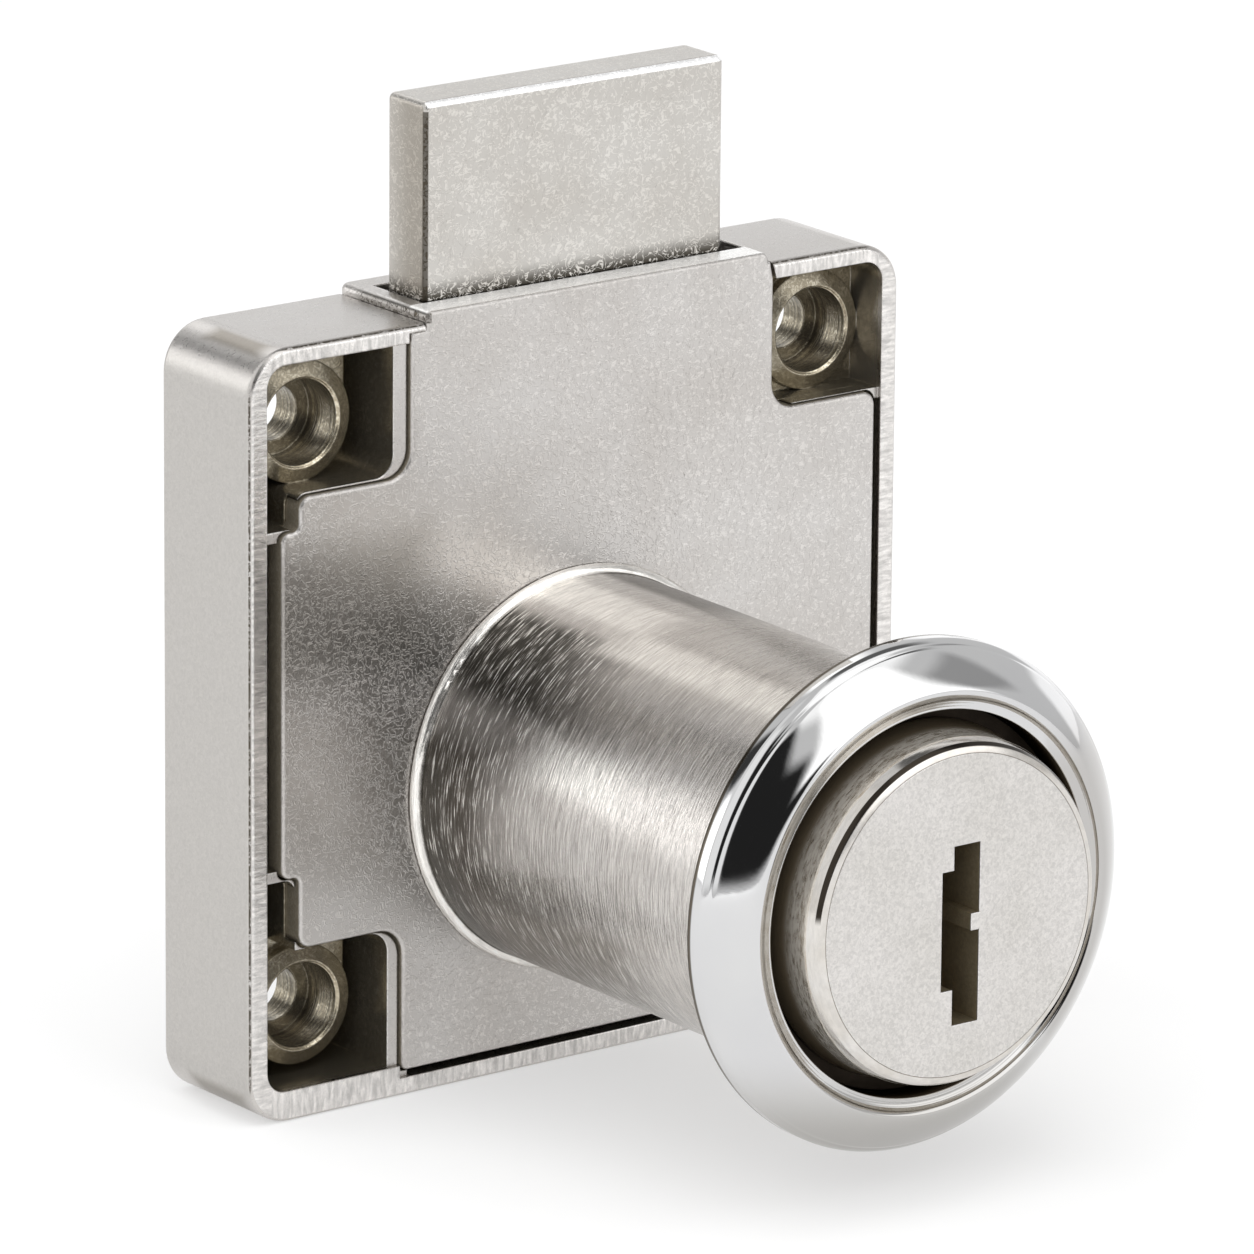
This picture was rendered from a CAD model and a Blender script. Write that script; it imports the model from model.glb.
import math

import bmesh
import bpy
import numpy as np
from mathutils import Matrix, Vector


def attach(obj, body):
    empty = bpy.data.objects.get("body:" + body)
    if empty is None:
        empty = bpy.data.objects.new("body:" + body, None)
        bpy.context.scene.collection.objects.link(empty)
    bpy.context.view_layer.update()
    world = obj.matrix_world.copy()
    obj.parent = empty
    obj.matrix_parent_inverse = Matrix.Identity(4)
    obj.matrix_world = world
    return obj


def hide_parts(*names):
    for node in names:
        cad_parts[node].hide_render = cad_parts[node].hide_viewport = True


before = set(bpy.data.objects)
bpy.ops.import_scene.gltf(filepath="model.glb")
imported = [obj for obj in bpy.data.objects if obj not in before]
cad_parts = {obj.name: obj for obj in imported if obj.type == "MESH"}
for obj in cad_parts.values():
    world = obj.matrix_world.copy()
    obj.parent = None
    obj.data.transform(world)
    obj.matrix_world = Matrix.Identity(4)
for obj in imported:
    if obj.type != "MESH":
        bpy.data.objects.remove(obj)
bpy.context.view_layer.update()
mm = 0.001
white = (1.0, 1.0, 1.0, 1.0)
scene = bpy.context.scene
scene.view_settings.view_transform = "Standard"     # the pale set has to stay white


# sRGB hex to linear red, green, blue, alpha
def linearColor(code):
    parts = [int(code[i:i + 2], 16) / 255 for i in (1, 3, 5)]
    return [c / 12.92 if c <= 0.04045 else ((c + 0.055) / 1.055) ** 2.4 for c in parts] + [1.0]


# One node: settings are properties or socket values, links are socket: (node, output)
def addNode(tree, kind, settings=None, links=None):
    node = tree.nodes.new("ShaderNode" + kind)
    for key, value in (settings or {}).items():
        if isinstance(key, str) and hasattr(node, key):
            setattr(node, key, value)
        else:
            node.inputs[key].default_value = value
    for key, (source, output) in (links or {}).items():
        tree.links.new(source.outputs[output], node.inputs[key])
    return node


# Camera: worked out from the straight edges of the case, 547 mm away with a long lens
view = {
    "eye": (-314.23, -420.50, 157.79),
    "right": (0.7997, -0.6003, 0.0084),
    "up": (0.1591, 0.2253, 0.9612),
    "lens": 314.85,
    "nearest": 0.05,        # metres
    "farthest": 20.0,
}
cameraData = bpy.data.cameras.new("camera")
cameraData.lens = view["lens"]
cameraData.clip_start = view["nearest"]
cameraData.clip_end = view["farthest"]
camera = bpy.data.objects.new("camera", cameraData)
right = Vector(view["right"]).normalized()
up = Vector(view["up"])
up = (up - right * up.dot(right)).normalized()
turn = Matrix((right, up, right.cross(up))).transposed().to_4x4()
camera.matrix_world = Matrix.Translation(Vector(view["eye"]) * mm) @ turn
scene.collection.objects.link(camera)
scene.camera = camera
print("camera set")

# Set: a pale floor under a room of bright and dark panels, which is what the metal mirrors
studio = {
    "floorLevel": -15.3,
    "floorSize": 4000.0,
    "floorTone": "#BEBEBE",
    "floorRough": 0.9,
    "floorSheen": 0.1,
    "floorGlow": 0.42,      # light from below, as on a light table, keeps the shadows faint
    "roomLight": 0.72,
    "background": 1.0,      # what the camera sees behind everything
    # each panel: degrees round from +X towards +Y (from, to), degrees up (from, to), soft edge, light
    "panels": [
        (122, 182, -10, 78, 10, 0.92),      # wall behind on the left
        (4, 62, -10, 14, 6, 1.30),          # low and bright behind on the right
        (60, 84, 24, 46, 8, 1.55),          # bright patch behind, above it
        (106, 122, 22, 50, 7, 0.05),        # dark strip that the barrel shows
        (123, 144, 0, 24, 6, 2.50),         # bright strip beside it
        (322, 348, 20, 44, 8, 0.40),        # dim patch at the front right
        (240, 360, 56, 86, 10, 1.35),       # overhead
        (0, 78, 50, 84, 13, 0.14),          # dark overhead at the back
        (262, 318, 4, 80, 9, 1.70),         # big soft light at the front right
        (170, 208, 2, 66, 6, 1.10),         # bright strip before the dark side of the room
        (212, 244, 4, 58, 9, 0.02),         # the dark side, front left, in three steps
        (212, 258, 4, 38, 9, 0.02),
        (212, 280, 3, 20, 7, 0.02),
    ],
}


# A panel's mask: smooth steps on the distance from its middle, both ways
def panelMask(tree, around, above, panel):
    left, right, low, high, soft, _ = panel
    masks = []
    for source, a, b in ((around, left, right), (above, low, high)):
        away = addNode(tree, "Math", {"operation": "SUBTRACT", 1: (a + b) / 2}, {0: (source, 0)})
        far = addNode(tree, "Math", {"operation": "ABSOLUTE"}, {0: (away, 0)})
        half = (b - a) / 2
        step = {"interpolation_type": "SMOOTHSTEP", "From Min": half + soft / 2, "From Max": half - soft / 2}
        masks.append(addNode(tree, "MapRange", step, {"Value": (far, 0)}))
    return addNode(tree, "Math", {"operation": "MULTIPLY"}, {0: (masks[0], 0), 1: (masks[1], 0)})


def layFloor(s):
    half = s["floorSize"] / 2 * mm
    level = s["floorLevel"] * mm
    corners = [(-half, -half, level), (half, -half, level), (half, half, level), (-half, half, level)]
    mesh = bpy.data.meshes.new("floor")
    mesh.from_pydata(corners, [], [(0, 1, 2, 3)])
    floor = bpy.data.objects.new("floor", mesh)
    scene.collection.objects.link(floor)
    paper = bpy.data.materials.new("studioPaper")
    paper.use_nodes = True
    shader = paper.node_tree.nodes["Principled BSDF"]
    shader.inputs["Base Color"].default_value = linearColor(s["floorTone"])
    shader.inputs["Roughness"].default_value = s["floorRough"]
    shader.inputs["Specular IOR Level"].default_value = s["floorSheen"]
    shader.inputs["Emission Color"].default_value = white
    shader.inputs["Emission Strength"].default_value = s["floorGlow"]
    mesh.materials.append(paper)


# The room's light comes from where a ray goes: degrees round and up, and each panel laid over the ones before
def lightRoom(s):
    world = bpy.data.worlds.new("room")
    scene.world = world
    world.use_nodes = True
    tree = world.node_tree
    perRadian = 180 / math.pi
    place = addNode(tree, "TexCoord")
    parts = addNode(tree, "SeparateXYZ", None, {0: (place, "Generated")})
    flipX = addNode(tree, "Math", {"operation": "MULTIPLY", 1: -1.0}, {0: (parts, 0)})
    flipY = addNode(tree, "Math", {"operation": "MULTIPLY", 1: -1.0}, {0: (parts, 1)})
    swing = addNode(tree, "Math", {"operation": "ARCTAN2"}, {0: (flipY, 0), 1: (flipX, 0)})
    around = addNode(tree, "Math", {"operation": "MULTIPLY_ADD", 1: perRadian, 2: 180.0}, {0: (swing, 0)})
    lift = addNode(tree, "Math", {"operation": "ARCSINE"}, {0: (parts, 2)})
    above = addNode(tree, "Math", {"operation": "MULTIPLY", 1: perRadian}, {0: (lift, 0)})
    light = addNode(tree, "Value")
    light.outputs[0].default_value = s["roomLight"]
    for panel in s["panels"]:
        mask = panelMask(tree, around, above, panel)
        light = addNode(tree, "Mix", {"data_type": "FLOAT", 3: panel[5]}, {0: (mask, 0), 2: (light, 0)})
    path = addNode(tree, "LightPath")
    shown = addNode(tree, "Mix", {"data_type": "FLOAT", 3: s["background"]},
                    {0: (path, "Is Camera Ray"), 2: (light, 0)})
    back = tree.nodes["Background"]
    back.inputs["Color"].default_value = white
    tree.links.new(shown.outputs[0], back.inputs["Strength"])


layFloor(studio)
lightRoom(studio)

# Two lamps for the floor and the dull parts: the metal doesn't mirror them
lamps = [
    # name, place, aim, size, power
    ("floorLamp", (-250, -150, 900), (0, 0, 0), 800, 3.5),
    ("fillLamp", (-700, -600, 420), (0, 0, -10), 700, 4.0),
]
for name, place, aim, size, power in lamps:
    light = bpy.data.lights.new(name, "AREA")
    light.size = size * mm
    light.energy = power
    lamp = bpy.data.objects.new(name, light)
    lamp.location = Vector(place) * mm
    lamp.rotation_mode = "QUATERNION"
    lamp.rotation_quaternion = (Vector(aim) - Vector(place)).to_track_quat("-Z", "Y")
    lamp.visible_glossy = False
    scene.collection.objects.link(lamp)
print("studio set")


# Surfaces
# Closed profile from corners (radius, y, fillet): each fillet is an arc tangent to both sides
def roundedLoop(corners, steps):
    tiny = 1e-9
    points = np.array([c[:2] for c in corners], float)
    fillets = np.array([c[2] for c in corners], float)
    before = np.roll(points, 1, 0) - points
    after = np.roll(points, -1, 0) - points
    before /= np.linalg.norm(before, axis=1)[:, None]
    after /= np.linalg.norm(after, axis=1)[:, None]
    half = np.arccos(np.clip((before * after).sum(1), -1, 1)) / 2
    reach = fillets / np.tan(half)
    middle = before + after
    middle /= np.maximum(np.linalg.norm(middle, axis=1)[:, None], tiny)
    center = points + middle * (fillets / np.sin(half))[:, None]
    start = points + before * reach[:, None] - center
    sweep = math.pi - 2 * half
    side = np.sign(before[:, 0] * after[:, 1] - before[:, 1] * after[:, 0])
    share = np.linspace(0, 1, steps)
    angle = (sweep * -side)[:, None] * share[None, :]
    cos, sin = np.cos(angle), np.sin(angle)
    x = start[:, None, 0] * cos - start[:, None, 1] * sin
    y = start[:, None, 0] * sin + start[:, None, 1] * cos
    arcs = center[:, None, :] + np.stack([x, y], 2)
    return arcs.reshape(-1, 2)


# The profile (radius, y) carried round the Y axis: x = r cos t, z = r sin t
def turnedGrid(profile, steps):
    t = np.linspace(0, 2 * math.pi, steps, endpoint=False)
    r = profile[:, 0]
    grid = np.empty((len(profile), steps, 3))
    grid[:, :, 0] = r[:, None] * np.cos(t)
    grid[:, :, 1] = profile[:, 1][:, None]
    grid[:, :, 2] = r[:, None] * np.sin(t)
    return grid


# Four-sided faces of a grid whose rows and columns join up again
def gridFaces(rows, columns):
    i, j = np.meshgrid(np.arange(rows), np.arange(columns), indexing="ij")
    ni, nj = (i + 1) % rows, (j + 1) % columns
    faces = [i * columns + j, i * columns + nj, ni * columns + nj, ni * columns + j]
    return np.stack(faces, 2).reshape(-1, 4)


def makePiece(name, points, faces, body, material):
    mergeReach = 1e-7       # points nearer to each other than this become one
    mesh = bpy.data.meshes.new(name)
    mesh.from_pydata((points.reshape(-1, 3) * mm).tolist(), [], faces.tolist())
    work = bmesh.new()
    work.from_mesh(mesh)
    bmesh.ops.remove_doubles(work, verts=work.verts, dist=mergeReach)
    bmesh.ops.recalc_face_normals(work, faces=work.faces)
    work.to_mesh(mesh)
    work.free()
    mesh.polygons.foreach_set("use_smooth", np.ones(len(mesh.polygons), bool))
    piece = bpy.data.objects.new(name, mesh)
    scene.collection.objects.link(piece)
    mesh.materials.append(material)
    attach(piece, body)
    return piece


# Finishes
# How far a point is inside a box in the part's own millimetres, 0 outside to 1 inside. A round zone is
# given by radius and y instead of x, y, z. The soft edge lies outside the box, one width or one for each
# axis
def zoneMask(tree, scaled, zone):
    low, high = np.array(zone["low"], float), np.array(zone["high"], float)
    middle, half = tuple((low + high) / 2), tuple((high - low) / 2)
    perSoft = tuple(np.ones(3) / zone["soft"])
    if zone.get("round"):
        flat = addNode(tree, "VectorMath", {"operation": "MULTIPLY", 1: (1, 0, 1)}, {0: (scaled, 0)})
        reach = addNode(tree, "VectorMath", {"operation": "LENGTH"}, {0: (flat, 0)})
        depth = addNode(tree, "SeparateXYZ", None, {0: (scaled, 0)})
        scaled = addNode(tree, "CombineXYZ", None, {0: (reach, "Value"), 1: (depth, 1)})
    away = addNode(tree, "VectorMath", {"operation": "SUBTRACT", 1: middle}, {0: (scaled, 0)})
    far = addNode(tree, "VectorMath", {"operation": "ABSOLUTE"}, {0: (away, 0)})
    past = addNode(tree, "VectorMath", {"operation": "SUBTRACT", 1: half}, {0: (far, 0)})
    share = addNode(tree, "VectorMath", {"operation": "MULTIPLY", 1: perSoft}, {0: (past, 0)})
    parts = addNode(tree, "SeparateXYZ", None, {0: (share, 0)})
    first = addNode(tree, "Math", {"operation": "MAXIMUM"}, {0: (parts, 0), 1: (parts, 1)})
    most = addNode(tree, "Math", {"operation": "MAXIMUM"}, {0: (first, 0), 1: (parts, 2)})
    return addNode(tree, "MapRange", {"interpolation_type": "SMOOTHSTEP", "From Min": 1.0, "From Max": 0.0},
                   {"Value": (most, 0)})


# Cutter marks across a rim: noise drawn out along x on the upright sides and along z on the others
def crossStrokes(tree, scaled, s, color, normal):
    least, most = s["noise"]
    mask = zoneMask(tree, scaled, s)
    parts = addNode(tree, "SeparateXYZ", None, {0: (scaled, 0)})
    side = addNode(tree, "Math", {"operation": "ABSOLUTE"}, {0: (parts, 0)})
    upright = addNode(tree, "Math", {"operation": "GREATER_THAN", 1: s["uprightFrom"]}, {0: (side, 0)})
    level = addNode(tree, "VectorMath", {"operation": "MULTIPLY", 1: (1, 0, s["across"])}, {0: (scaled, 0)})
    rising = addNode(tree, "VectorMath", {"operation": "MULTIPLY", 1: (s["across"], 0, 1)}, {0: (scaled, 0)})
    along = addNode(tree, "Mix", {"data_type": "VECTOR"}, {0: (upright, 0), 4: (level, 0), 5: (rising, 0)})
    lines = addNode(tree, "TexNoise", {"Scale": 1 / s["pitch"], "Detail": s["detail"],
                                       "Distortion": s["swirl"]}, {"Vector": (along, 1)})
    shade = addNode(tree, "MapRange", {"From Min": least, "From Max": most, "To Min": 1 - s["tone"],
                                       "To Max": 1 + s["tone"]}, {"Value": (lines, 0)})
    part = addNode(tree, "Mix", {"data_type": "FLOAT", 2: 1.0}, {0: (mask, 0), 3: (shade, 0)})
    lined = addNode(tree, "VectorMath", {"operation": "SCALE"}, {0: (color, 0), "Scale": (part, 0)})
    height = addNode(tree, "Math", {"operation": "MULTIPLY"}, {0: (mask, 0), 1: (lines, 0)})
    bump = addNode(tree, "Bump", {"Strength": s["bump"], "Distance": s["depth"] * mm},
                   {"Height": (height, 0), "Normal": normal})
    return lined, (bump, 0)


# Turning marks in the four screw bores: waves along y within a radius of each bore's axis, and a bright
# ring at the bore's chamfer. The four are folded into one by the distance from the middle between them
def boreThreads(tree, scaled, t, color, normal):
    least, most = t["noise"]
    middleX, middleZ = t["middle"]
    reachX, reachZ = t["reach"]
    moved = addNode(tree, "VectorMath", {"operation": "SUBTRACT", 1: (middleX, 0, middleZ)}, {0: (scaled, 0)})
    folded = addNode(tree, "VectorMath", {"operation": "ABSOLUTE"}, {0: (moved, 0)})
    away = addNode(tree, "VectorMath", {"operation": "SUBTRACT", 1: (reachX, 0, reachZ)}, {0: (folded, 0)})
    flat = addNode(tree, "VectorMath", {"operation": "MULTIPLY", 1: (1, 0, 1)}, {0: (away, 0)})
    far = addNode(tree, "VectorMath", {"operation": "LENGTH"}, {0: (flat, 0)})
    mask = addNode(tree, "MapRange", {"From Min": t["radius"] + t["soft"], "From Max": t["radius"]},
                   {"Value": (far, "Value")})
    parts = addNode(tree, "SeparateXYZ", None, {0: (scaled, 0)})
    lines = addNode(tree, "TexNoise", {"noise_dimensions": "1D", "Scale": 1 / t["pitch"],
                                       "Detail": t["detail"]}, {"W": (parts, 1)})
    shade = addNode(tree, "MapRange", {"From Min": least, "From Max": most, "To Min": 1 - t["tone"],
                                       "To Max": 1 + t["tone"] * t["crest"]}, {"Value": (lines, 0)})
    part = addNode(tree, "Mix", {"data_type": "FLOAT", 2: 1.0}, {0: (mask, 0), 3: (shade, 0)})
    beside = addNode(tree, "Math", {"operation": "SUBTRACT", 1: t["ring"]}, {0: (far, "Value")})
    near = addNode(tree, "Math", {"operation": "ABSOLUTE"}, {0: (beside, 0)})
    glint = addNode(tree, "MapRange", {"From Min": t["ringSoft"], "From Max": t["ringHalf"], "To Min": 1.0,
                                       "To Max": t["glint"]}, {"Value": (near, 0)})
    both = addNode(tree, "Math", {"operation": "MULTIPLY"}, {0: (part, 0), 1: (glint, 0)})
    lined = addNode(tree, "VectorMath", {"operation": "SCALE"}, {0: (color, 0), "Scale": (both, 0)})
    height = addNode(tree, "Math", {"operation": "MULTIPLY"}, {0: (mask, 0), 1: (lines, 0)})
    bump = addNode(tree, "Bump", {"Strength": t["bump"], "Distance": t["depth"] * mm},
                   {"Height": (height, 0), "Normal": normal})
    return lined, (bump, 0)


# What a finish has unless it says otherwise. A pair is where the noise, or an edge's turn, starts to count
# and where it counts in full
usual = {"cloudDetail": 3.0, "cloudNoise": (0.35, 0.65), "stretch": (1, 1, 1), "detail": 3.0,
         "grainRough": 0.6, "swirl": 0.0, "grainMiddle": 0.5, "grainSpan": 0.15, "wormTones": (0.64, 0.47),
         "roughNoise": (0.3, 0.7), "bevelSamples": 5, "edgeTurn": (0.98, 0.86), "edgeGloss": 0.6,
         "wearNoise": (0.3, 0.5), "anisotropic": 0.0, "anisotropicTurn": 0.0, "zones": []}


# The grain is noise, drawn out by stretch. With worms it is thin raised lines where the noise crosses its
# middle
def grainPattern(tree, scaled, look):
    stretch = addNode(tree, "VectorMath", {"operation": "MULTIPLY", 1: look["stretch"]}, {0: (scaled, 0)})
    grain = addNode(tree, "TexNoise", {"Scale": 1 / look["grainSize"], "Detail": look["detail"],
                                       "Roughness": look["grainRough"], "Distortion": look["swirl"]},
                    {"Vector": (stretch, 0)})
    if "worms" not in look:
        return grain
    crest, ground = look["wormTones"]
    off = addNode(tree, "Math", {"operation": "SUBTRACT", 1: look["grainMiddle"]}, {0: (grain, 0)})
    away = addNode(tree, "Math", {"operation": "ABSOLUTE"}, {0: (off, 0)})
    return addNode(tree, "MapRange", {"interpolation_type": "SMOOTHSTEP", "From Max": look["worms"],
                                      "To Min": crest, "To Max": ground}, {"Value": (away, 0)})


# Plated metal: colour clouds, a grain that changes tone, gloss and bump together, worn edges, and zones of
# another tone and gloss
def metalFinish(name, look):
    look = {**usual, **look}
    middle, span, grainTone = look["grainMiddle"], look["grainSpan"], look["grainTone"]
    material = bpy.data.materials.new(name)
    material.use_nodes = True
    tree = material.node_tree
    shader = tree.nodes["Principled BSDF"]
    place = addNode(tree, "TexCoord")
    scaled = addNode(tree, "VectorMath", {"operation": "SCALE", "Scale": 1 / mm}, {0: (place, "Object")})
    clouds = addNode(tree, "TexNoise", {"Scale": 1 / look["cloudSize"], "Detail": look["cloudDetail"]},
                     {"Vector": (scaled, 0)})
    grain = grainPattern(tree, scaled, look)
    least, most = look["cloudNoise"]
    cloudShare = addNode(tree, "MapRange", {"From Min": least, "From Max": most}, {"Value": (clouds, 0)})
    tone = addNode(tree, "Mix", {"data_type": "RGBA", 6: linearColor(look["color"]),
                                 7: linearColor(look["cloudColor"])}, {0: (cloudShare, 0)})
    grainShare = addNode(tree, "MapRange", {"From Min": middle - span, "From Max": middle + span,
                                            "To Min": 1 - grainTone, "To Max": 1 + grainTone},
                         {"Value": (grain, 0)})
    least, most = look["roughNoise"]
    rough = addNode(tree, "MapRange", {"From Min": least, "From Max": most,
                                       "To Min": look["rough"] - look["roughPlay"],
                                       "To Max": look["rough"] + look["roughPlay"]}, {"Value": (grain, 0)})

    # worn edges: where the rounded normal turns away from the face's own
    soft = addNode(tree, "Bevel", {"samples": look["bevelSamples"], "Radius": look["edge"] * mm})
    shape = addNode(tree, "NewGeometry")
    bend = addNode(tree, "VectorMath", {"operation": "DOT_PRODUCT"}, {0: (soft, 0), 1: (shape, "Normal")})
    least, most = look["edgeTurn"]
    rubbed = addNode(tree, "MapRange", {"From Min": least, "From Max": most, "To Max": look["worn"]},
                     {"Value": (bend, "Value")})
    least, most = look["wearNoise"]
    patchy = addNode(tree, "MapRange", {"From Min": least, "From Max": most}, {"Value": (grain, 0)})
    worn = addNode(tree, "Math", {"operation": "MULTIPLY"}, {0: (rubbed, 0), 1: (patchy, 0)})
    color = addNode(tree, "Mix", {"data_type": "RGBA", 7: linearColor(look["edgeColor"])},
                    {0: (worn, 0), 6: (tone, 2)})
    gloss = addNode(tree, "Mix", {"data_type": "FLOAT", 3: look["rough"] * look["edgeGloss"]},
                    {0: (worn, 0), 2: (rough, 0)})

    # zones: each is laid over the ones before, and "metal" below 1 makes it partly dull
    shader.inputs["Metallic"].default_value = 1.0
    bare = None
    for zone in look["zones"]:
        mask = zoneMask(tree, scaled, zone)
        if "patchy" in zone:
            least, most = zone["patchy"]
            spots = addNode(tree, "MapRange", {"From Min": least, "From Max": most}, {"Value": (grain, 0)})
            mask = addNode(tree, "Math", {"operation": "MULTIPLY"}, {0: (mask, 0), 1: (spots, 0)})
        color = addNode(tree, "Mix", {"data_type": "RGBA", 7: linearColor(zone["color"])},
                        {0: (mask, 0), 6: (color, 2)})
        gloss = addNode(tree, "Mix", {"data_type": "FLOAT", 3: zone["rough"]}, {0: (mask, 0), 2: (gloss, 0)})
        if "metal" in zone:
            under = {2: (bare, 0)} if bare else {}
            bare = addNode(tree, "Mix", {"data_type": "FLOAT", 2: 1.0, 3: zone["metal"]},
                           {0: (mask, 0), **under})

    color = addNode(tree, "VectorMath", {"operation": "SCALE"}, {0: (color, 2), "Scale": (grainShare, 0)})
    normal = (soft, 0)
    if "strokes" in look:
        color, normal = crossStrokes(tree, scaled, look["strokes"], color, normal)
    if "threads" in look:
        color, normal = boreThreads(tree, scaled, look["threads"], color, normal)
    bump = addNode(tree, "Bump", {"Strength": look["bump"], "Distance": look["bumpDepth"] * mm},
                   {"Height": (grain, 0), "Normal": normal})
    shader.inputs["Anisotropic"].default_value = look["anisotropic"]
    shader.inputs["Anisotropic Rotation"].default_value = look["anisotropicTurn"]
    tree.links.new(color.outputs[0], shader.inputs["Base Color"])
    tree.links.new(gloss.outputs[0], shader.inputs["Roughness"])
    if bare:
        tree.links.new(bare.outputs[0], shader.inputs["Metallic"])
    tree.links.new(bump.outputs["Normal"], shader.inputs["Normal"])
    if look["anisotropic"]:
        tangent = addNode(tree, "Tangent", {"direction_type": "RADIAL", "axis": "Y"})
        tree.links.new(tangent.outputs[0], shader.inputs["Tangent"])
    return material


caseRim = {"low": (-25, -1, -20), "high": (25, 0.02, 30), "soft": 0.03}
casePockets = {"low": (-18.93, 0.34, -14.3), "high": (18.93, 6.2, 23.32), "soft": 0.06}
plugSide = {"round": True, "low": (-1, -29.66, -1), "high": (12, -20, 1), "soft": 0.08}

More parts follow.
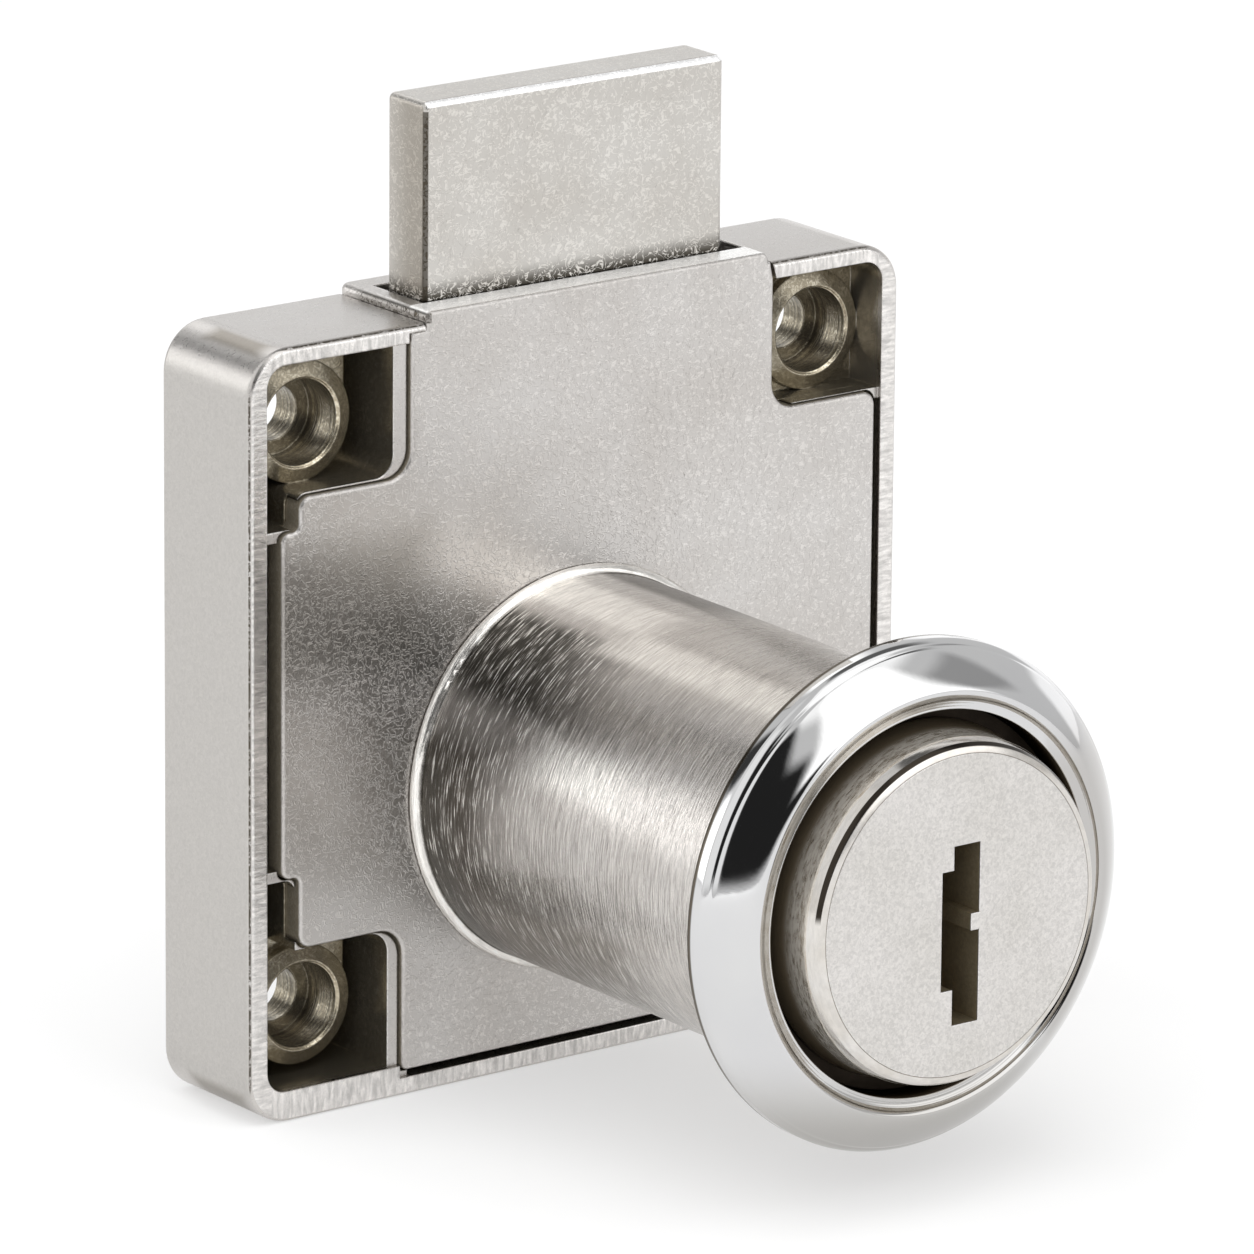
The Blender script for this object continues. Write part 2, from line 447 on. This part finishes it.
# Sizes are in millimetres. In a zone "low" and "high" are the corners of its box, and "patchy" keeps it to
# part of the grain
finishes = {
    # nickel over a tumbled die casting: soft gloss and a fine orange skin; the pockets keep a dark film
    "satinNickel": {
        "color": "#D0CDCA", "cloudColor": "#C8C4C0", "edgeColor": "#F2F0ED", "cloudSize": 9.0,
        "grainSize": 0.22, "swirl": 1.2, "grainTone": 0.06, "rough": 0.31, "roughPlay": 0.06,
        "bump": 0.45, "bumpDepth": 0.02, "edge": 0.12, "worn": 0.75,
        "zones": [
            {**caseRim, "color": "#DEDBD8", "rough": 0.24},
            # the left side, a little darker, and darker still at its upper and lower corner
            {"low": (-21, 0.3, -13.2), "high": (-19.97, 8, 22.8), "soft": (0.5, 0.2, 1.6),
             "color": "#BDBAB6", "rough": 0.33},
            {"low": (-18.75, 1.6, 23.8), "high": (-18.3, 4.6, 24.3), "soft": (0.45, 1.4, 0.35),
             "color": "#9A948C", "rough": 0.30},
            {"low": (-21, 1.6, -16), "high": (-19.2, 4.6, -14.2), "soft": (0.6, 1.4, 0.8),
             "color": "#9A958E", "rough": 0.33},
            # stain along the rim's outer edge, on the left and on top
            {"low": (-20.1, -0.1, -14.0), "high": (-19.92, 0.12, 23.0), "soft": 0.07,
             "color": "#4E483F", "rough": 0.3, "patchy": (0.36, 0.50)},
            {"low": (-18.9, -0.1, 24.12), "high": (18.9, 0.12, 24.4), "soft": 0.07,
             "color": "#4E483F", "rough": 0.3, "patchy": (0.36, 0.50)},
            # the film in the pockets, with paler patches
            {**casePockets, "color": "#8B8372", "rough": 0.22, "metal": 0.84},
            {**casePockets, "color": "#BFB9A9", "rough": 0.22, "patchy": (0.48, 0.78), "metal": 0.92},
        ],
        "strokes": {**caseRim, "uprightFrom": 18.7, "pitch": 0.24, "across": 0.22, "detail": 3.0,
                    "swirl": 0.4, "noise": (0.32, 0.68), "tone": 0.24, "bump": 0.5, "depth": 0.03},
        "threads": {"middle": (0.1, 4.815), "reach": (15.75, 14.935), "radius": 2.18, "soft": 0.05,
                    "pitch": 0.28, "detail": 2.0, "noise": (0.35, 0.65), "tone": 0.45, "crest": 0.15,
                    "bump": 0.6, "depth": 0.05, "ring": 2.26, "ringHalf": 0.05, "ringSoft": 0.09,
                    "glint": 1.9},
    },
    # nickel over a sand-blasted plate: thin wormy grains about 0.3 mm apart, bright on the flange's edge
    "sandedNickel": {
        "color": "#D2CFCC", "cloudColor": "#C9C5C1", "edgeColor": "#F4F2EF", "cloudSize": 7.0,
        "grainSize": 0.34, "detail": 1.5, "swirl": 1.0, "worms": 0.05, "grainTone": 0.14, "grainSpan": 0.08,
        "rough": 0.31, "roughPlay": 0.08, "bump": 0.9, "bumpDepth": 0.055, "edge": 0.14, "worn": 0.8,
        "zones": [
            # the left of the face
            {"low": (-20, -1, 9.0), "high": (-11.5, 0.3, 12.0), "soft": (4, 0.2, 3.6),
             "color": "#A9A5A0", "rough": 0.31},
            # the flange's front edge
            {"low": (-9.6, 0.2, 24.7), "high": (11.6, 1.6, 24.9), "soft": 0.1,
             "color": "#FAF9F7", "rough": 0.25, "metal": 0.45},
            # the plate's own edge and back
            {"low": (-19, 0.16, -16), "high": (19, 1.4, 24.0), "soft": 0.08,
             "color": "#8E8677", "rough": 0.32, "metal": 0.5},
            # the flange's left end
            {"low": (-9.9, 0.25, 24.2), "high": (-9.14, 5.0, 24.64), "soft": (0.06, 1.6, 0.06),
             "color": "#4A443B", "rough": 0.24, "patchy": (0.30, 0.60)},
        ],
    },
    # nickel over fine turning: strokes of about 1.3 mm by 0.1 mm round the barrel, coarser than the real ones
    # so that they show, and a light that runs along it
    "turnedNickel": {
        "color": "#D0CCC8", "cloudColor": "#C4BFBA", "edgeColor": "#F6F4F0", "cloudSize": 6.0,
        "grainSize": 1.3, "stretch": (1, 12, 1), "grainTone": 0.19, "rough": 0.22, "roughPlay": 0.08,
        "bump": 1.0, "bumpDepth": 0.035, "edge": 0.08, "worn": 0.6,
        "anisotropic": 0.75, "anisotropicTurn": 0.25,
        "zones": [
            # the dark root on the left, its upper band and the edge at the bead
            {"low": (-11, -3.4, -9), "high": (-6, 0.5, 2.6), "soft": (3, 5, 2.8),
             "color": "#625C55", "rough": 0.26, "patchy": (0.66, 0.50)},
            {"low": (-8.0, -4.6, 6.4), "high": (-4.9, 0.5, 9.5), "soft": (1.2, 9, 1.6),
             "color": "#4F4C46", "rough": 0.24, "patchy": (0.66, 0.50)},
            {"low": (-11, -1.4, -9.5), "high": (-5.5, 0.5, 1.0), "soft": (2, 2.4, 3),
             "color": "#5B5751", "rough": 0.26},
            # bright strokes over it
            {"low": (-11, -6.5, -4), "high": (-5.5, 0.5, 8.6), "soft": (1.5, 6, 3),
             "color": "#EEECE7", "rough": 0.3, "metal": 0.70, "patchy": (0.58, 0.72)},
            # the bright streak on the left, and the darker strokes below
            {"low": (-9.6, -12.6, 3.9), "high": (-8.8, -11.2, 4.5), "soft": (1.4, 5.0, 1.6),
             "color": "#E8E5E0", "rough": 0.2, "metal": 0.88},
            {"low": (-11, -13.5, -10.5), "high": (-5.5, -7, -4.4), "soft": (1.5, 6, 2),
             "color": "#8D877F", "rough": 0.24, "patchy": (0.66, 0.50)},
            # the bright streak on top, at the root and on towards the nose, and the dark strip right of it
            {"low": (-2.8, -7.5, 8.9), "high": (-1.2, -1.0, 10.2), "soft": (0.9, 4, 1.2),
             "color": "#EAE6E0", "rough": 0.22, "metal": 0.85},
            {"low": (-4.5, -25, 8.5), "high": (-3.6, -11.0, 10.2), "soft": (0.9, 5, 1.2),
             "color": "#E6E2DC", "rough": 0.22, "metal": 0.84},
            {"low": (1.5, -7.0, 8.0), "high": (5.0, 0.2, 10.2), "soft": (1.0, 5, 1.2),
             "color": "#726D67", "rough": 0.24},
            # the bead, the line round it, and the nose inside the trim ring
            {"round": True, "low": (10.06, -1, -1), "high": (11, 0.1, 1), "soft": 0.04,
             "color": "#F2EFEA", "rough": 0.16, "metal": 0.9},
            {"round": True, "low": (10.30, -0.06, -1), "high": (11, 0.1, 1), "soft": 0.05,
             "color": "#5E574E", "rough": 0.3},
            {"round": True, "low": (-1, -30, -1), "high": (9.7, -25.75, 1), "soft": 0.05,
             "color": "#231E19", "rough": 0.35},
        ],
    },
    # nickel over glass-bead blasting: pale and even with tiny specks, drawn at 0.17 mm so that they show; the
    # keyway's walls are brassy
    "blastedNickel": {
        "color": "#D6D3D0", "cloudColor": "#CFCCC8", "edgeColor": "#FFFFFF", "cloudSize": 5.0,
        "grainSize": 0.17, "swirl": 0.8, "grainTone": 0.12, "rough": 0.36, "roughPlay": 0.06,
        "bump": 0.5, "bumpDepth": 0.015, "edge": 0.07, "worn": 0.8,
        "zones": [
            {"low": (-2.0, -30.38, -5.9), "high": (2.0, -4.9, 4.0), "soft": 0.1,
             "color": "#A6997F", "rough": 0.4, "metal": 0.8},
        ],
    },
    # polished nickel of the plug's rim; its side is duller, then tarnished
    "polishedNickel": {
        "color": "#DAD7D3", "cloudColor": "#D2CDC6", "edgeColor": "#FFFFFF", "cloudSize": 2.5,
        "grainSize": 0.6, "stretch": (1, 4, 1), "grainTone": 0.06, "rough": 0.10, "roughPlay": 0.04,
        "bump": 0.2, "bumpDepth": 0.01, "edge": 0.03, "worn": 0.0,
        "zones": [
            {**plugSide, "color": "#D2CCC2", "rough": 0.24, "metal": 0.64},
            {**plugSide, "color": "#A79C8C", "rough": 0.2, "metal": 0.8, "patchy": (0.44, 0.70)},
            {"round": True, "low": (-1, -27.9, -1), "high": (12, -20, 1), "soft": 0.9,
             "color": "#6E6250", "rough": 0.3, "metal": 0.6},
            # the line round the face, and the black facet above it
            {"round": True, "low": (7.99, -30.6, -1), "high": (8.03, -30.4, 1), "soft": 0.03,
             "color": "#8C867E", "rough": 0.3},
            {"low": (-9, -30.375, 1.4), "high": (9, -30.165, 9), "soft": (1, 0.025, 0.5),
             "color": "#38332D", "rough": 0.12},
        ],
    },
    # nickel over a coarse sintered bolt: wormy grains about 0.4 mm apart, bright worn edges, dark where it
    # leaves the case
    "grainedNickel": {
        "color": "#D1CEC9", "cloudColor": "#C8C4BE", "edgeColor": "#FFFFFF", "cloudSize": 5.0,
        "grainSize": 0.40, "detail": 1.5, "swirl": 1.0, "worms": 0.05, "grainTone": 0.17, "grainSpan": 0.08,
        "rough": 0.30, "roughPlay": 0.09, "bump": 1.0, "bumpDepth": 0.04, "edge": 0.12, "worn": 0.8,
        "wearNoise": (0.30, 0.46),
        "zones": [
            # the left face, and the foot where the bolt leaves the case
            {"low": (-8.6, 1.9, 25.4), "high": (-8.28, 2.6, 34.2), "soft": (0.05, 3.6, 1.2),
             "color": "#A29C93", "rough": 0.32},
            {"low": (-9, 1, 24.0), "high": (11, 6, 24.8), "soft": (1, 1, 1.1),
             "color": "#38332A", "rough": 0.35, "patchy": (0.64, 0.46)},
            # the bright top edge and the dark left edge of the front
            {"low": (-8.1, 1.7, 34.5), "high": (9.95, 1.98, 34.8), "soft": 0.06,
             "color": "#FFFFFF", "rough": 0.16, "metal": 0.6},
            {"low": (-8.34, 1.73, 24.0), "high": (-8.1, 1.93, 34.25), "soft": 0.07,
             "color": "#4A443B", "rough": 0.3, "patchy": (0.30, 0.5)},
        ],
    },
    # chrome over polished brass: a mirror with hardly any grain
    "chromePlate": {
        "color": "#D6D6D6", "cloudColor": "#D2D2D3", "edgeColor": "#FFFFFF", "cloudSize": 5.0,
        "grainSize": 0.35, "grainTone": 0.0, "rough": 0.05, "roughPlay": 0.015,
        "bump": 0.10, "bumpDepth": 0.012, "edge": 0.02, "worn": 0.0,
        "zones": [
            # the lower part and the lower right
            {"low": (-20, -32, -14), "high": (20, -20, -11), "soft": (1, 1, 5.5),
             "color": "#B8B6B3", "rough": 0.06},
            {"low": (7.6, -32, -10.5), "high": (11.5, -20, 5), "soft": (0.9, 1, 3.5),
             "color": "#BEBCBA", "rough": 0.06},
            # unpolished bore, and the line at the back of the side band
            {"round": True, "low": (-1, -28.22, -1), "high": (9.72, -20, 1), "soft": 0.03,
             "color": "#3A342C", "rough": 0.3},
            {"round": True, "low": (12.55, -26.02, -1), "high": (13, -25, 1), "soft": (0.1, 0.12, 1),
             "color": "#5C554B", "rough": 0.2},
        ],
    },
    # zinc plate on small steel parts: a cool, faintly clouded grey
    "zincPlate": {
        "color": "#C4C5C8", "cloudColor": "#B4B6BA", "edgeColor": "#EEEEEE", "cloudSize": 3.0,
        "grainSize": 0.3, "grainTone": 0.04, "rough": 0.3, "roughPlay": 0.06,
        "bump": 0.2, "bumpDepth": 0.01, "edge": 0.08, "worn": 0.6,
    },
    # blued spring steel: dark, with paler rubbed edges
    "springSteel": {
        "color": "#6E6A66", "cloudColor": "#5C5955", "edgeColor": "#B0ADA9", "cloudSize": 2.0,
        "grainSize": 0.2, "grainTone": 0.04, "rough": 0.35, "roughPlay": 0.06,
        "bump": 0.2, "bumpDepth": 0.01, "edge": 0.05, "worn": 0.5,
    },
    # stamped brass sheet: yellow and a little tarnished
    "stampedBrass": {
        "color": "#C9A55C", "cloudColor": "#B8924C", "edgeColor": "#EAD9A8", "cloudSize": 2.0,
        "grainSize": 0.2, "grainTone": 0.04, "rough": 0.32, "roughPlay": 0.06,
        "bump": 0.2, "bumpDepth": 0.01, "edge": 0.05, "worn": 0.6,
    },
}
made = {name: metalFinish(name, look) for name, look in finishes.items()}
print("finishes made")

wear = {
    "case": "satinNickel", "cover_plate": "sandedNickel", "barrel": "turnedNickel", "rosette": "chromePlate",
    "core_plug": "blastedNickel", "bolt": "grainedNickel", "crank": "zincPlate", "crank_pin": "zincPlate",
    "crank_screw": "zincPlate", "cover_screws": "zincPlate", "bolt_spring": "springSteel",
}
for number in range(1, 7):
    wear["wafer_%d" % number] = "stampedBrass"
    wear["wafer_spring_%d" % number] = "springSteel"
for node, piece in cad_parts.items():
    for part in piece.material_slots:
        part.material = made[wear[node]]
print("carried parts finished")

# Trim ring: a turned ring with a side band, a dome and a rolled lip
ring = {
    "bore": 9.65, "outer": 12.75, "back": -25.7, "band": 0.85,
    "crest": -28.6, "crestRadius": 10.55, "lipRadius": 10.25, "lipY": -28.3,
    "boreFillet": 0.1, "backFillet": 0.22,
    "fullness": 0.22,       # how far the dome's handles reach towards the corner
    "creaseAt": 0.25, "creaseDepth": 0.025, "creaseWidth": 0.03,
    "lipLines": 0.012, "lipWaves": 10,
    "filletSteps": 6, "domeSteps": 64, "lipSteps": 26, "steps": 288,
}


# Band edge to crest is a cubic curve with both handles towards the corner, dented by a shallow crease.
# The lip is a quarter ellipse down to the bore with fine lines, a squared sine of its angle
def ringProfile(r):
    t = np.linspace(0, 1, r["domeSteps"])[:, None]
    start = np.array([r["outer"], r["back"] - r["band"]])
    end = np.array([r["crestRadius"], r["crest"]])
    corner = np.array([r["outer"], r["crest"]])
    first = start + (corner - start) * r["fullness"]
    second = end + (corner - end) * r["fullness"]
    dome = start * (1 - t) ** 3 + 3 * first * t * (1 - t) ** 2 + 3 * second * t ** 2 * (1 - t) + end * t ** 3
    along = np.gradient(dome, axis=0)
    along /= np.linalg.norm(along, axis=1)[:, None]
    inward = np.stack([along[:, 1], -along[:, 0]], 1)
    dome += inward * r["creaseDepth"] * np.exp(-((t - r["creaseAt"]) / r["creaseWidth"]) ** 2)
    a = np.linspace(0, math.pi / 2, r["lipSteps"])
    lipAcross = r["bore"] + (r["lipRadius"] - r["bore"]) * np.cos(a)
    dips = r["lipLines"] * np.maximum(0, np.sin(a * r["lipWaves"])) ** 2
    lipDepth = r["crest"] + (r["lipY"] - r["crest"]) * np.sin(a) + dips
    lip = np.stack([lipAcross, lipDepth], 1)
    corners = [(r["bore"], r["back"], r["boreFillet"]), (r["outer"], r["back"], r["backFillet"]),
               (r["outer"], r["crest"], r["boreFillet"]), (r["bore"], r["crest"], r["boreFillet"])]
    back = roundedLoop(corners, r["filletSteps"])[:2 * r["filletSteps"]]
    return np.concatenate([back, dome, lip[1:]])


points = ringProfile(ring)
trimRing = makePiece("trimRing", turnedGrid(points, ring["steps"]), gridFaces(len(points), ring["steps"]),
                     "trim_ring", made["chromePlate"])
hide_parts("rosette")
print("trim ring made")

# Plug rim: the polished sleeve of the plug's head, from the face's edge over the bevel to the flare
rim = {
    "face": -30.5, "backY": -26.9, "inside": 7.8,
    # the facets' corners: radius, y, fillet
    "faceEdge": (8.0, -30.5, 0.035), "lip": (8.34, -30.40, 0.08), "knee": (8.50, -30.15, 0.12),
    "bevel": (8.64, -29.6, 0.10),
    "flareRadius": 8.91, "flareY": -27.0, "flarePower": 2.2,
    "flareEdge": (0.06, -26.93),        # how far in the back edge is cut, and from where
    "sunk": (0.25, 0.3),                # how far behind the face the sleeve starts, and its first side aims
    "filletSteps": 8, "sideSteps": 24, "steps": 256,
}


# Three facets with rounded corners, then a side that widens towards the flare with a power of the way back
def rimProfile(r):
    bevelRadius, bevelY, _ = r["bevel"]
    sunk, aim = r["sunk"]
    cut, cutY = r["flareEdge"]
    # the first and last corner only give the facets next to them a direction, and are left off
    corners = [(r["inside"], r["face"] + aim, 0.02), r["faceEdge"], r["lip"], r["knee"], r["bevel"],
               (bevelRadius + 0.01, bevelY + 1.0, 0.1)]
    facets = roundedLoop(corners, r["filletSteps"])[r["filletSteps"]:-r["filletSteps"]]
    s = np.linspace(0, 1, r["sideSteps"])[1:]
    startR, startY = facets[-1]
    side = np.stack([startR + (r["flareRadius"] - startR) * s ** r["flarePower"],
                     startY + (r["flareY"] - startY) * s], 1)
    close = np.array([(r["flareRadius"], cutY), (r["flareRadius"] - cut, r["backY"]),
                      (r["inside"], r["backY"]), (r["inside"], r["face"] + sunk)])
    return np.concatenate([facets, side, close])


points = rimProfile(rim)
plugRim = makePiece("plugRim", turnedGrid(points, rim["steps"]), gridFaces(len(points), rim["steps"]),
                    "core", made["polishedNickel"])
print("plug rim made")
